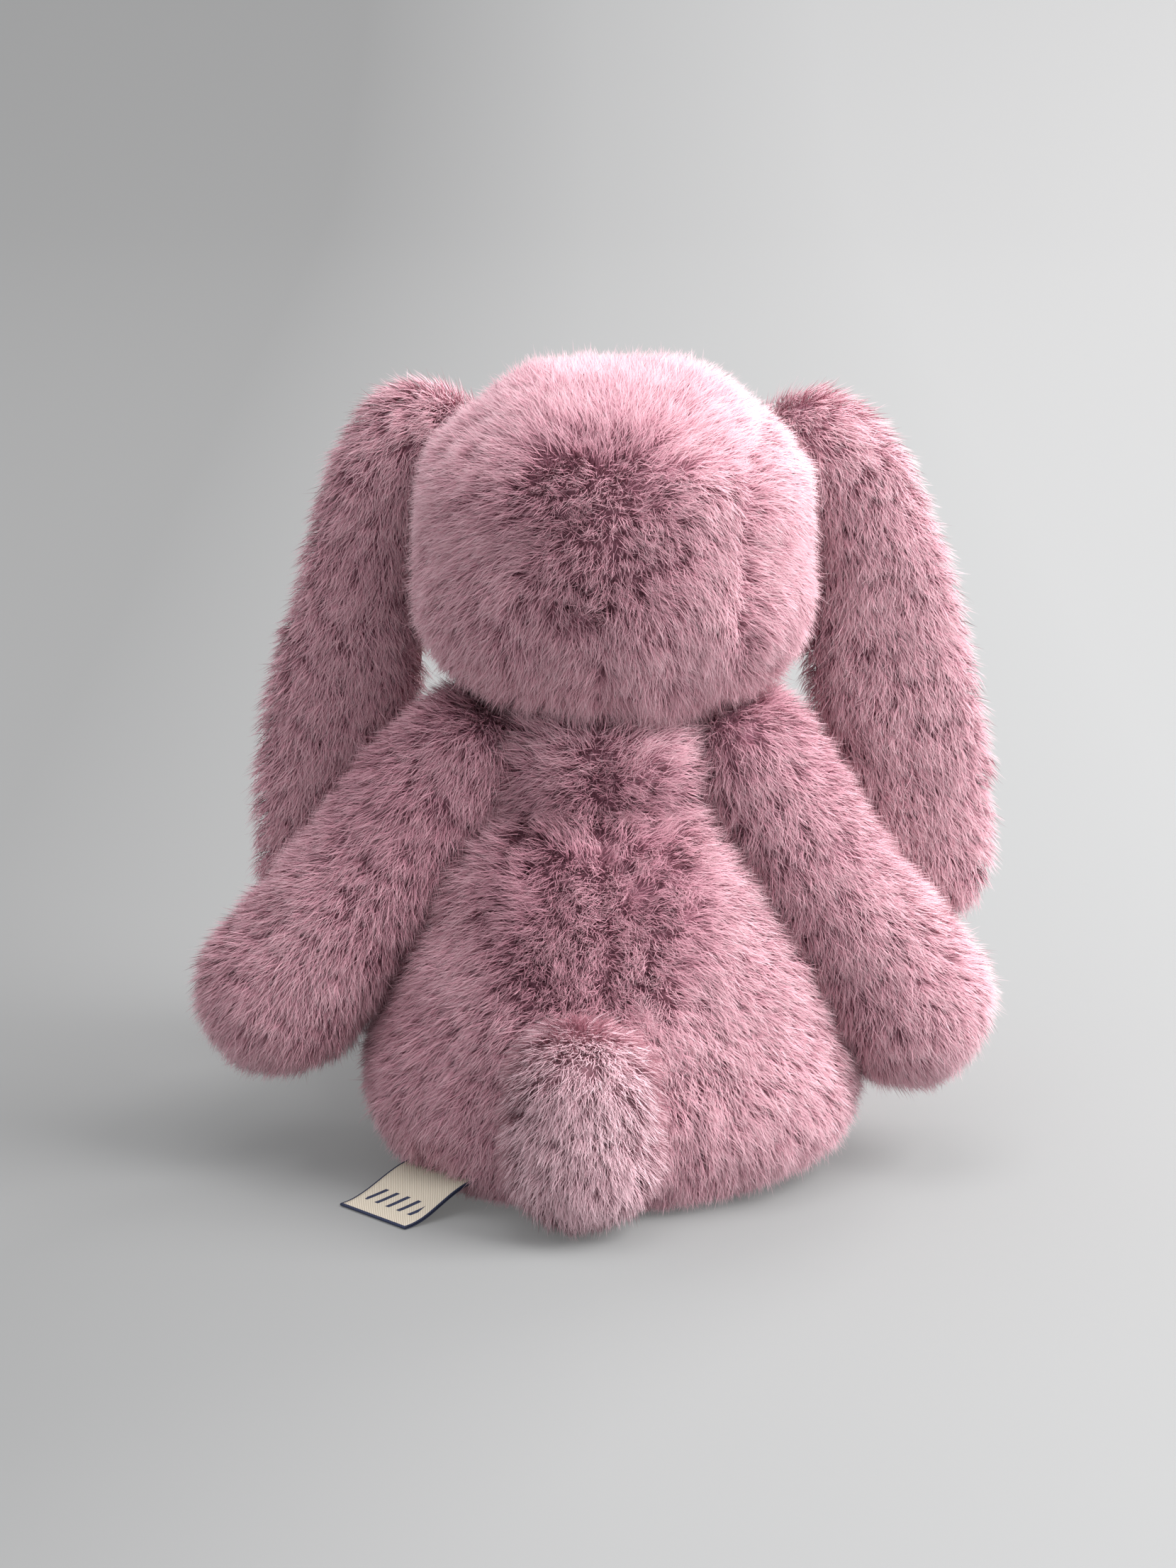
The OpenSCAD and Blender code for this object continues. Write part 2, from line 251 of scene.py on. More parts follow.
def pile(name, skin, body, material, comb, length, lean, tousle, shade, keep=None,
         clumps=0.60, each=9, spread=1.7, width=0.21, stray=0.06):
    """The pile on a skin: clumps of flat strands, each strand a quad and a tip.

    comb, length, lean, tousle and shade are functions of the points, in mm and degrees. shade gives the tone,
    which on the body, head, arms and ears holds painted light and shade.
    """
    c, n = scatter(skin.data, clumps)
    if keep is not None:
        chosen = keep(c, n)
        c, n = c[chosen], n[chosen]
    rough = tousle(c)[:, None]
    way = unit(flat_to(n, comb(c, n)))
    swirl = noise(c, 9.0) * 0.9 + noise(c + 40, 4.5) * 0.7 + noise(c + 90, 2.2) * 0.6
    way = unit(flat_to(n, way + rough * swirl) + 1e-6)
    tilt = lean(c) + 9 * noise(c + 70, 5.0)[:, 0] * (0.4 + rough[:, 0]) + rng.normal(0, 5, len(c))
    reach = length(c) * (1 + 0.16 * noise(c + 20, 6.0)[:, 1] + rng.normal(0, 0.07, len(c)))
    # a clump's tone: random tone, with the painted light and shade from shade()
    tone = shade(c) + 0.14 * noise(c + 55, 11.0)[:, 2] + rng.normal(0, 0.09, len(c))

    def grow(root, n, way, tilt, reach, bend):
        """Points along strands that lean more towards their ends."""
        side = np.cross(n, way)
        rows = [root]
        for step, more in zip(np.diff(STATIONS), (-12, 14)):
            a = np.radians(np.clip(tilt + more, 0, 84))[:, None]
            d = n * np.cos(a) + way * np.sin(a) + side * bend[:, None] * (more / 40)
            rows.append(rows[-1] + unit(d) * (reach * step)[:, None])
        return np.stack(rows, 1)

    centre = grow(c, n, way, tilt, reach, rng.normal(0, 0.5, len(c)))
    m = len(c) * each
    who = np.repeat(np.arange(len(c)), each)
    nn, ww = n[who], way[who]
    side = np.cross(nn, ww)
    radius = spread * np.sqrt(rng.random(m))[:, None]
    angle = rng.random(m) * 2 * math.pi
    root = c[who] + radius * (ww * np.cos(angle)[:, None] + side * np.sin(angle)[:, None])
    own_way = unit(flat_to(nn, ww + 0.35 * rng.normal(size=(m, 3))))
    own_tilt = tilt[who] + rng.normal(0, 9, m)
    own_reach = reach[who] * rng.uniform(0.72, 1.1, m)
    loose = rng.random(m) < stray
    own_reach[loose] *= 1.12
    own_tilt[loose] -= 12
    line = grow(root, nn, own_way, own_tilt, own_reach, rng.normal(0, 0.8, m))
    pull = PULL[None, :] * np.where(loose, 0.15, 1.0)[:, None]
    line += (centre[who] - line) * pull[:, :, None]
    line[:, :, 2] = np.maximum(line[:, :, 2], 0.25 + 0.5 * rng.random((m, 1)))
    # ribbons, their flat side turned outwards
    along = unit(np.diff(line, axis=1))
    spin = rng.normal(0, 0.55, m)[:, None]
    verts = np.zeros((m, 5, 3))
    face_out = np.zeros((m, 5, 3))
    half = width / 2 * rng.uniform(0.75, 1.2, m)
    half[loose] *= 0.6
    for k in range(2):
        d = along[:, k]
        across = unit(np.cross(d, nn))
        out = np.cross(across, d)
        across = across * np.cos(spin) + out * np.sin(spin)
        verts[:, 2 * k] = line[:, k] - across * (half * WIDTH[k])[:, None]
        verts[:, 2 * k + 1] = line[:, k] + across * (half * WIDTH[k])[:, None]
        face_out[:, 2 * k] = face_out[:, 2 * k + 1] = out
    verts[:, 4] = line[:, 2]
    face_out[:, 4] = face_out[:, 3]
    verts[:, :, 2] = np.maximum(verts[:, :, 2], 0.2)
    normals = unit(0.8 * nn[:, None, :] + 0.4 * face_out + 0.22 * rng.normal(size=(m, 1, 3)))
    first = np.arange(m, dtype=np.int64)[:, None] * 5
    quads = first + [0, 1, 3, 2]
    tips = first + [2, 3, 4]
    corners = np.concatenate([quads.ravel(), tips.ravel()])
    starts = np.concatenate([np.arange(m) * 4, m * 4 + np.arange(m) * 3])
    mesh = bpy.data.meshes.new(name)
    mesh.vertices.add(m * 5)
    mesh.vertices.foreach_set("co", (verts * MM).astype(np.float32).ravel())
    mesh.loops.add(len(corners))
    mesh.loops.foreach_set("vertex_index", corners.astype(np.int32))
    mesh.polygons.add(len(starts))
    mesh.polygons.foreach_set("loop_start", starts.astype(np.int32))
    mesh.polygons.foreach_set("use_smooth", np.ones(len(starts), bool))
    mesh.update(calc_edges=True)
    # along the strand, and the strand's own tone, with the painted light and shade it takes from shade()
    own_tone = np.clip(tone[who] + rng.normal(0, 0.12, m), 0.0, 1.0)
    u = np.repeat(STATIONS, [2, 2, 1]) * 0.96 + 0.02
    sidev = np.array([-1, 1, -1, 1, 0]) * 0.012
    uv = np.zeros((m, 5, 2))
    uv[:, :, 0] = u[None, :]
    uv[:, :, 1] = 0.03 + 0.94 * own_tone[:, None] + sidev[None, :]
    layer = mesh.uv_layers.new(name="OFBake")
    layer.data.foreach_set("uv", uv.reshape(-1, 2)[corners].astype(np.float32).ravel())
    mesh.normals_split_custom_set_from_vertices(normals.reshape(-1, 3).astype(np.float32))
    mesh.materials.append(material)
    obj = bpy.data.objects.new(name, mesh)
    bpy.context.scene.collection.objects.link(obj)
    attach(obj, body)
    return obj


# ---------------------------------------------------------------- materials
def new_material(name):
    mat = bpy.data.materials.new(name)
    mat.use_nodes = True
    nodes = mat.node_tree.nodes
    return mat, nodes, mat.node_tree.links, nodes["Principled BSDF"]


def ramp(nodes, stops):
    node = nodes.new("ShaderNodeValToRGB")
    el = node.color_ramp.elements
    while len(el) < len(stops):
        el.new(0.5)
    for e, (at, colour) in zip(el, stops):
        e.position = at
        e.color = (*colour, 1)
    return node


def pile_material(name, stops, dark, light):
    """Colour along a strand and by its shade, which holds random tone and, on the body, head, arms and ears,
    painted light and shade: dark and light are its colours at the stops.
    """
    mat, nodes, links, bsdf = new_material(name)
    uv = nodes.new("ShaderNodeUVMap")
    uv.uv_map = "OFBake"
    split = nodes.new("ShaderNodeSeparateXYZ")
    links.new(uv.outputs["UV"], split.inputs[0])
    a, b = (ramp(nodes, list(zip(stops, colours))) for colours in (dark, light))
    links.new(split.outputs["X"], a.inputs["Fac"])
    links.new(split.outputs["X"], b.inputs["Fac"])
    mix = nodes.new("ShaderNodeMix")
    mix.data_type = "RGBA"
    links.new(split.outputs["Y"], mix.inputs["Factor"])
    links.new(a.outputs["Color"], mix.inputs[6])
    links.new(b.outputs["Color"], mix.inputs[7])
    links.new(mix.outputs[2], bsdf.inputs["Base Color"])
    bsdf.inputs["Roughness"].default_value = 0.62
    bsdf.inputs["Specular IOR Level"].default_value = 0.35
    bsdf.inputs["Sheen Weight"].default_value = 0.12
    bsdf.inputs["Sheen Roughness"].default_value = 0.5
    bsdf.inputs["Sheen Tint"].default_value = (1.0, 0.86, 0.9, 1)
    return mat


def cloth_material(name, low, high, scale, bump=0.3, rough=0.9, sheen=0.0):
    """Mottled fabric or fibre, in two tones of noise with a fine bump."""
    mat, nodes, links, bsdf = new_material(name)
    coord = nodes.new("ShaderNodeTexCoord")
    tex = nodes.new("ShaderNodeTexNoise")
    tex.inputs["Scale"].default_value = scale
    tex.inputs["Detail"].default_value = 4
    links.new(coord.outputs["Object"], tex.inputs["Vector"])
    colours = ramp(nodes, [(0.3, low), (0.7, high)])
    links.new(tex.outputs["Fac"], colours.inputs["Fac"])
    links.new(colours.outputs["Color"], bsdf.inputs["Base Color"])
    if bump:
        node = nodes.new("ShaderNodeBump")
        node.inputs["Strength"].default_value = bump
        node.inputs["Distance"].default_value = 0.0006
        links.new(tex.outputs["Fac"], node.inputs["Height"])
        links.new(node.outputs["Normal"], bsdf.inputs["Normal"])
    bsdf.inputs["Roughness"].default_value = rough
    bsdf.inputs["Sheen Weight"].default_value = sheen
    return mat


LONG_STOPS = (0.0, 0.30, 0.65, 1.0)  # from a strand's root to its tip
SHORT_STOPS = (0.0, 0.5, 1.0)
PINK = pile_material(
    "pink_pile", LONG_STOPS,
    [(0.260, 0.082, 0.123), (0.333, 0.115, 0.167), (0.499, 0.212, 0.274), (0.676, 0.358, 0.420)],
    [(0.437, 0.167, 0.226), (0.582, 0.253, 0.319), (0.790, 0.428, 0.496), (0.950, 0.740, 0.775)],
)
PALE = pile_material(
    "tail_pile", LONG_STOPS,
    [(0.312, 0.121, 0.162), (0.437, 0.195, 0.247), (0.645, 0.353, 0.418), (0.790, 0.502, 0.560)],
    [(0.437, 0.195, 0.247), (0.645, 0.353, 0.418), (0.853, 0.558, 0.617), (0.950, 0.735, 0.779)],
)
CREAM = pile_material(
    "lining_pile", SHORT_STOPS,
    [(0.300, 0.150, 0.150), (0.560, 0.360, 0.340), (0.720, 0.540, 0.500)],
    [(0.420, 0.240, 0.230), (0.740, 0.540, 0.500), (0.880, 0.740, 0.690)],
)
BACKING = cloth_material("plush_backing", (0.290, 0.110, 0.158), (0.400, 0.180, 0.235), 900, 0.5, 1.0)
TAIL_BACKING = cloth_material("tail_backing", (0.440, 0.220, 0.265), (0.580, 0.330, 0.380), 900, 0.5, 1.0)
LINING_BACKING = cloth_material("lining_backing", (0.420, 0.250, 0.240), (0.600, 0.400, 0.380), 900, 0.5, 1.0)
FIBRE = cloth_material("fibre_fill", (0.62, 0.62, 0.60), (0.86, 0.86, 0.84), 260, 0.8, 1.0, 0.3)
POUCH = cloth_material("pouch_cotton", (0.34, 0.26, 0.17), (0.52, 0.43, 0.31), 700, 0.6, 0.95)
THREAD = cloth_material("neck_thread", (0.26, 0.10, 0.14), (0.48, 0.24, 0.30), 1400, 0.6, 0.7)
WASHER = cloth_material("washer_plastic", (0.70, 0.70, 0.67), (0.80, 0.80, 0.78), 120, 0.05, 0.45)
EYE = cloth_material("eye_gloss", (0.004, 0.003, 0.003), (0.011, 0.008, 0.007), 60, 0.0, 0.06)
EYE.node_tree.nodes["Principled BSDF"].inputs["Coat Weight"].default_value = 0.6
EYE.node_tree.nodes["Principled BSDF"].inputs["Coat Roughness"].default_value = 0.03
STITCH = cloth_material("satin_thread", (0.020, 0.009, 0.011), (0.060, 0.028, 0.034), 1600, 0.5, 0.38, 0.2)


def paint(node, mat):
    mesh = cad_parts[node].data
    mesh.materials.clear()
    mesh.materials.append(mat)


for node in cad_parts:
    if node.endswith("_stuffing"):
        paint(node, FIBRE)
    elif node.startswith("eye_washer"):
        paint(node, WASHER)
    elif node.startswith("eye_"):
        paint(node, EYE)
    elif node.endswith("_stitching"):
        paint(node, STITCH)
paint("bean_pouch", POUCH)
paint("neck_cord", THREAD)


# ---------------------------------------------------------------- skins
def seam(along, low, high, fade, across, wide):
    """1 on a seam line, 0 away from it and past its ends."""
    ends = smooth(along, low - fade, low + fade) * (1 - smooth(along, high - fade, high + fade))
    return ends * np.exp(-((across / wide) ** 2))


def from_back_seam(p):
    """Sideways distance from the seam down the back, which wanders a little."""
    return p[:, 0] - 1.5 * np.sin(p[:, 2] / 14)


def from_head_seam(p):
    """Sideways distance from the gusset seam that shows on the back of the head."""
    return p[:, 0] + 31.5 + 0.004 * (p[:, 2] - 160) ** 2


def back_seam(p, wide):
    return (p[:, 1] > 5) * seam(p[:, 2], 38, 108, 8, from_back_seam(p), wide)


def head_seam(p, wide):
    return (p[:, 1] > 0) * seam(p[:, 2], 138, 190, 8, from_head_seam(p), wide)


def nape_seam(p, wide):
    return 0.8 * (p[:, 1] > 5) * seam(p[:, 2], 124, 150, 7, p[:, 0], wide)


def lumps(p):
    """Uneven filling, in mm outwards."""
    return np.maximum(0.9 * noise(p, 24.0)[:, 0] + 0.4 * noise(p + 30, 11.0)[:, 1], -0.7)


def body_shape(p, n):
    """Lumps and seams, and a hip that bulges on the bunny's right."""
    high = smooth(p[:, 2], 2, 12)
    seams = back_seam(p, 4.0)
    hip = 4.5 * smooth(-p[:, 0], 25, 50) * smooth(p[:, 2], 4, 16) * (1 - smooth(p[:, 2], 55, 85))
    return high * lumps(p) * (1 - seams) - 1.0 * seams + hip


def head_shape(p, n):
    """Lumps and seams, full cheeks, and a top lower than the CAD's."""
    seams = np.maximum(head_seam(p, 3.6), nape_seam(p, 4.5))
    q = p - HEAD
    jowl = np.exp(-((q[:, 2] + 25) / 12) ** 2) * smooth(np.abs(q[:, 0]), 14, 34) * smooth(q[:, 1], -25, -5)
    top = 4.5 * smooth(q[:, 2], 12, 42)
    corners = 3.5 * smooth(np.abs(q[:, 0]), 18, 42) * smooth(q[:, 2], 10, 38)
    return lumps(p) * (1 - seams) - 1.1 * seams + 3.6 * jowl - (top + corners)


def arm_shape(at):
    """Lumps, and a shoulder that is fuller on top."""
    def shape(p, n):
        near = 1 - smooth(np.linalg.norm(p - at, axis=1), 16, 44)
        return lumps(p) + 3.6 * smooth(n[:, 2], 0.1, 0.8) * near
    return shape


def shrunk(rings, inset):
    return [(x, z, r - inset) for x, z, r in rings]


def head_parts(inset):
    skull = lathe(rounded(shrunk([(11.5, -7, 35), (11.5, 7, 35)], inset)), 56)
    muzzle = lathe(rounded(shrunk([(0, 0, 19)], inset)))
    return [placed(skull, None, HEAD), placed(muzzle, None, MUZZLE)]


def arm_parts(spin, at, inset):
    rings = [(0, ARM_SHORT - ARM_REACH, PAW_R), (0, 0, SHOULDER_R)]
    return [placed(lathe(rounded(shrunk(rings, inset), samples=44), 32), spin, at)]


def leg_parts(spin, at, inset):
    thigh = lathe(rounded(shrunk([(0, 0, THIGH_R), (0, LEG_REACH, THIGH_R)], inset), samples=44), 32)
    foot = lathe(rounded(shrunk(FOOT_RINGS, inset)), 32)
    toe = placed(foot, turn("X", FOOT_LEAN), (0, -LEG_REACH, 0))
    return [placed(thigh, spin @ turn("X", 90), at), placed(toe, spin, at)]


def tail_parts(inset):
    return [placed(lathe(rounded(shrunk(TAIL_RINGS, inset)), 36), None, TAIL)]


def ear_parts(side, depth, inset, offset, root=0.0, inwards=0.0, wider=0.0):
    """A soft flat pad: balls along the ear's bent row of circles, and a lump at its root."""
    top = EAR_TOP[side]
    ball = lathe(rounded([(0, 0, 1.0)], samples=14), 24)
    parts = []
    if root:
        parts.append(placed(ball, np.diag(EAR_ROOT), (-5, offset, top - 2)))
    rings = [(EAR_TOP_RING[0], top, EAR_TOP_RING[1])] + EAR_RINGS
    steps = 5
    for a, b in zip(rings[:-1], rings[1:]):
        for k in range(steps + (b is rings[-1])):
            t = k / steps
            x, z, r = ((1 - t) * u + t * v for u, v in zip(a, b))
            x -= inwards * math.exp(-(((z + 62) / 22) ** 2))
            near_root = root * math.exp(-(((z + 4) / 24) ** 2))
            wide = r - inset + 0.8 * near_root + wider * math.exp(-(((z + 50) / 34) ** 2))
            parts.append(placed(ball, np.diag([wide, depth + near_root, wide]), (x, offset, z)))
    spin = turn("Y", -side * EAR_LEAN_PART * EAR_LEAN[side]) @ np.diag([side, 1, 1])
    at = EAR * [side, 1, 1] + [HEAD[0] + side * EAR_OUT[side], 0, 0]
    parts = [placed(part, spin, at) for part in parts]
    if side < 0:  # the mirrored faces are turned back outwards
        parts = [(v, [f[::-1] for f in faces]) for v, faces in parts]
    return parts


hips = lathe(rounded(shrunk([(31, 25, 27), (0, 62, 45)], SKIN_IN), low=1.0), 56)
shoulders = lathe(rounded([(0, 99, 29)]))
body_skin = make_skin("body_skin", [hips, shoulders], 2.4, 5, body_shape)
head_skin = make_skin("head_skin", head_parts(SKIN_IN), 2.4, 6, head_shape)
head_fill = make_skin("head_fill", head_parts(FILL_IN), 3.0, 4, lambda p, n: head_shape(p, n) - 0.8)
arm_skins, arm_fills, leg_skins, ear_skins, lining_skins = {}, {}, {}, {}, {}
arm_axis, leg_axis = {}, {}
for side, word in SIDES.items():
    at = SHOULDER * [side, 1, 1]
    spin = turn("Y", -side * LEAN[side])
    arm_axis[side] = spin @ np.array([0, 0, -1.0])
    arm_skins[side] = make_skin(f"arm_{word}_skin", arm_parts(spin, at, SKIN_IN), 2.2, 3, arm_shape(at))
    arm_fills[side] = make_skin(f"arm_{word}_fill", arm_parts(spin, at, FILL_IN), 2.6, 2)

    at = HIP * [side, 1, 1]
    spin = turn("Z", side * SPLAY[side])
    leg_axis[side] = spin @ np.array([0, -1.0, 0])
    leg_skins[side] = make_skin(
        f"leg_{word}_skin", leg_parts(spin, at, SKIN_IN), 2.2, 4,
        lambda p, n: smooth(p[:, 2], 2, 9) * lumps(p),
    )

    left = side > 0
    ear = ear_parts(side, 6.0, 1.0, 1.6, root=3.5, inwards=0.5 if left else 2.0, wider=0.5 if left else 4.0)
    ear_skins[side] = make_skin(f"ear_{word}_skin", ear, 1.9, 3, lambda p, n: 0.6 * lumps(p))
    lining = ear_parts(side, 1.7, 2.6, -5.2, inwards=5.0 if left else 4.0, wider=1.5)
    lining_skins[side] = make_skin(f"ear_{word}_lining_skin", lining, 1.2, 2)
tail_skin = make_skin("tail_skin", tail_parts(SKIN_IN), 2.0, 3, lambda p, n: lumps(p))
tail_fill = make_skin("tail_fill", tail_parts(FILL_IN), 2.4, 2)


def dress(obj, body, material, node):
    obj.data.materials.append(material)
    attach(obj, body)
    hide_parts(node)


dress(body_skin, "torso", BACKING, "body_plush")
dress(head_skin, "head", BACKING, "head_plush")
dress(tail_skin, "tail", TAIL_BACKING, "tail_plush")
dress(head_fill, "head", FIBRE, "head_stuffing")
dress(tail_fill, "tail", FIBRE, "tail_stuffing")
for side, word in SIDES.items():
    dress(arm_skins[side], f"arm_{word}", BACKING, f"arm_{word}_plush")
    dress(arm_fills[side], f"arm_{word}", FIBRE, f"arm_{word}_stuffing")
    dress(leg_skins[side], f"leg_{word}", BACKING, f"leg_{word}_plush")
    dress(ear_skins[side], f"ear_{word}", BACKING, f"ear_{word}_plush")
    dress(lining_skins[side], f"ear_{word}", LINING_BACKING, f"ear_{word}_lining")


# ---------------------------------------------------------------- how the pile lies
BODY_WHORL = np.array([3.0, 46.0, 80.0])
HEAD_WHORL = HEAD + [3, 46, 8]


def away(p, centre, soft):
    """Away from a centre, fading out within about soft mm of it."""
    d = p - centre
    return d / (np.linalg.norm(d, axis=1, keepdims=True) + soft) * 1.5


def body_comb(p, n):
    """Outwards from the whorl on the back, and down; away from the seam beside it."""
    from_whorl = away(p, BODY_WHORL, 22) * 0.9
    beside = np.sign(from_back_seam(p))[:, None] * back_seam(p, 7.0)[:, None]
    return from_whorl + np.array([0, 0, -0.75]) + beside * np.array([1.3, 0, 0])


def head_comb(p, n):
    """Outwards from the whorl on the back of the head, and outwards from the muzzle on the face."""
    back = away(p, HEAD_WHORL, 40) + np.array([0, 0, -0.45])
    back = back + (np.sign(from_head_seam(p)) * head_seam(p, 7.0))[:, None] * np.array([1.0, 0, 0])
    back = back + (np.sign(p[:, 0]) * nape_seam(p, 8.0))[:, None] * np.array([0.6, 0, 0])
    face = unit(p - (MUZZLE + [0, -6, 0])) * 1.2
    f = smooth(-(p - HEAD)[:, 1], 16, 30)[:, None]
    return (1 - f) * back + f * face


def ear_comb(side):
    """Down the ear, and outwards from the head over its top."""
    down, over = np.array([0.25 * side, 0, -1.0]), np.array([1.0 * side, 0.3, -0.5])

    def comb(p, n):
        high = smooth(p[:, 2], 176, 192)[:, None]
        return (1 - high) * down + high * over
    return comb


def patch(p, centre, size):
    """1 inside a patch of upright, tousled pile, 0 outside it; the pile's tone is also darkened there as
    painted shade.
    """
    from_middle = np.linalg.norm((p - centre) / size, axis=1)
    return 1 - smooth(from_middle + 0.12 * noise(p, 9.0)[:, 0], 0.65, 1.15)


def head_middle(p):
    return patch(p, HEAD_WHORL, [25, 45, 25])


def body_middle(p):
    return patch(p, BODY_WHORL, [29, 60, 36])


def edge_of(p):
    """How near a point is to the sides of the head or body, where the pile lies smooth."""
    return smooth(np.abs(p[:, 0]), 20, 50)


def eye_gap(p):
    """Distance from the nearer eye's middle."""
    near = np.full(len(p), 99.0)
    for side in SIDES:
        a = math.radians(EYE_ANGLE)
        at = np.array([HEAD[0] + side * HEAD_R * math.sin(a), HEAD[1] - HEAD_R * math.cos(a), EYE_Z])
        near = np.minimum(near, np.linalg.norm(p - at, axis=1))
    return near


def nose_gap(p):
    """Distance from the nose, counted less along X and Z."""
    at = MUZZLE + [0, -18.5, 5]
    return np.linalg.norm((p - at) * [0.8, 1, 0.8], axis=1)


def face_length(p):
    """Length of the head's pile: short on the face, shorter on the muzzle and beside the eyes."""
    q = p - HEAD
    f = smooth(-q[:, 1], 10, 30)
    base = 8.0 * (1 - f) + 5.4 * f
    muzzle = 1 - smooth(np.linalg.norm(p - MUZZLE, axis=1), 20, 32)
    base = base * (1 - muzzle) + 4.2 * muzzle
    base = base * (0.45 + 0.55 * smooth(eye_gap(p), 6, 14))
    under = (1 - smooth(q[:, 2], -40, -24)) * (1 - f)
    base = base * (0.4 + 0.6 * smooth(nose_gap(p), 5, 13))
    return base * (1 - 0.35 * head_seam(p, 1.8)) + 3.5 * under


def face_keep(p):
    in_neck = np.linalg.norm(p - NECK, axis=1) < 15
    return (eye_gap(p) > 5.4) & (nose_gap(p) > 3.6) & ~in_neck


def everywhere(value):
    return lambda p: np.full(len(p), float(value))


def one_way(direction):
    return lambda p, n: np.array(direction)


def clear_of(skin, gap):
    """Keep points whose place seen from the front is at least gap mm from the skin."""
    across = points_of(skin.data)[0] * [1, 0, 1]
    tree = KDTree(len(across))
    for i, place in enumerate(across):
        tree.insert(place, i)
    tree.balance()
    return lambda q: np.array([tree.find(place)[2] > gap for place in q * [1, 0, 1]])


def ear_keep(lining):
    """The back and edges of an ear, and what shows round the lining in front."""
    beyond = clear_of(lining, 1.6)
    return lambda p, n: (n[:, 1] > -0.2) | beyond(p)


def quarter(p, at, front, left):
    return ((p[:, 1] < at[1]) == front) & ((p[:, 0] > at[0]) == left)


QUARTERS = {  # in front, on the bunny's left
    "back_left": (False, True),
    "back_right": (False, False),
    "front_left": (True, True),
    "front_right": (True, False),
}


def head_keep(which):
    return lambda p, n: face_keep(p) & quarter(p, HEAD, *which)


def body_keep(which):
    """All but the seat and the neck's opening."""
    def keep(p, n):
        seat = (p[:, 2] < 1.6) & (n[:, 2] < -0.7) & (np.hypot(p[:, 0], p[:, 1]) < 36)
        neck = p[:, 2] > 119
        return quarter(p, [0, 0], *which) & ~seat & ~neck
    return keep


# pile tone on the body, with painted light: darker in the middle patch of the back and in a band under the
# head as painted shade, lighter at the bunny's right edge, on the key's side, and darker at its left edge
def body_tone_and_painted_light(p):
    right = edge_of(p) * np.sign(-p[:, 0])
    return 0.56 - 0.44 * body_middle(p) + 0.14 * right - 0.10 * smooth(p[:, 2], 94, 108)


# pile tone on an arm, with painted light: the right arm, on the key's side, lighter than the left, and each
# arm darker at the shoulder by the body as painted shade, lighter towards the paw
def arm_tone_and_painted_light(side):
    centre, axis = SHOULDER * [side, 1, 1], arm_axis[side]
    base = 0.40 if side < 0 else 0.26
    return lambda p: base + 0.32 * smooth((p - centre) @ axis, 5, 80)


# pile tone on an ear, with painted light: the right ear, on the key's side, lighter than the left; both
# lighter near the top and at the lower end
def ear_tone_and_painted_light(side):
    base = 0.62 if side > 0 else 0.74
    return lambda p: base + 0.10 * smooth(p[:, 2], 165, 190) + 0.10 * smooth(-p[:, 2], -110, -80)


# each pile: its comb, then length, lean, tousle, shade and keep
for word, which in QUARTERS.items():
    pile(
        f"body_{word}_pile", body_skin, "torso", PINK, body_comb,
        lambda p: 8.2 * (1 - 0.4 * back_seam(p, 1.6)) + 1.5 * smooth(p[:, 2], 98, 108),
        lambda p: 38 - 20 * body_middle(p) + 8 * edge_of(p) - 12 * smooth(p[:, 2], 88, 102),
        lambda p: 0.45 + 1.2 * body_middle(p) - 0.15 * edge_of(p),
        body_tone_and_painted_light,
        body_keep(which),
    )
    pile(
        f"head_{word}_pile", head_skin, "head", PINK, head_comb, face_length,
        lambda p: 38 - 22 * head_middle(p) + 14 * edge_of(p),
        lambda p: 0.45 + 1.3 * head_middle(p) - 0.15 * edge_of(p),
        # tone: darker in the middle patch as painted shade, lighter at the sides as a painted rim highlight
        lambda p: 0.62 - 0.34 * head_middle(p) + 0.14 * edge_of(p),
        head_keep(which),
    )
for side, word in SIDES.items():
    pile(
        f"arm_{word}_pile", arm_skins[side], f"arm_{word}", PINK,
        one_way(arm_axis[side] + [0, 0, -0.35]),
        everywhere(8.4), everywhere(38), everywhere(0.28), arm_tone_and_painted_light(side),
    )
    pile(
        f"leg_{word}_pile", leg_skins[side], f"leg_{word}", PINK,
        one_way(leg_axis[side] + [0, 0, -0.15]),
        everywhere(7.8), everywhere(40), everywhere(0.28), everywhere(0.56),
        lambda p, n: ~((p[:, 2] < 2.6) & (n[:, 2] < -0.8)) & (p[:, 1] < -30),
    )
    pile(
        f"ear_{word}_pile", ear_skins[side], f"ear_{word}", PINK, ear_comb(side),
        everywhere(8.2), lambda p: 40 + 8 * smooth(p[:, 2], 180, 194), everywhere(0.27),
        ear_tone_and_painted_light(side),
        ear_keep(lining_skins[side]),
    )
    pile(
        f"ear_{word}_lining_pile", lining_skins[side], f"ear_{word}", CREAM,
        one_way([0.22 * side, 0, -1.0]),
        everywhere(3.6), everywhere(56), everywhere(0.35), everywhere(0.55),
        lambda p, n: n[:, 1] < 0.5,
        clumps=0.40, each=8, spread=1.2, width=0.20,
    )
pile(
    "tail_pile", tail_skin, "tail", PALE,
    lambda p, n: unit(p - TAIL) * [0.5, 0, 0] + np.array([0, 0.5, -1.0]),
    everywhere(8.0), lambda p: 30 + 14 * smooth(p[:, 2], 38, 50), everywhere(0.30), everywhere(0.72),
)


# ---------------------------------------------------------------- woven label
LABEL_TURN, LABEL_R0, LABEL_L, LABEL_W = 42.0, 52.5, 24.0, 25.0
LABEL_PLY = 0.22  # thickness of the woven tape
PLY_GAP = 0.26  # half of the gap between the middles of the two plies


def label_height(t):
    """Height of the label's middle above the floor: down from the seam, then flat on the floor."""
    return 0.55 + 7 * (1 + np.cos(np.pi * t)) / 2


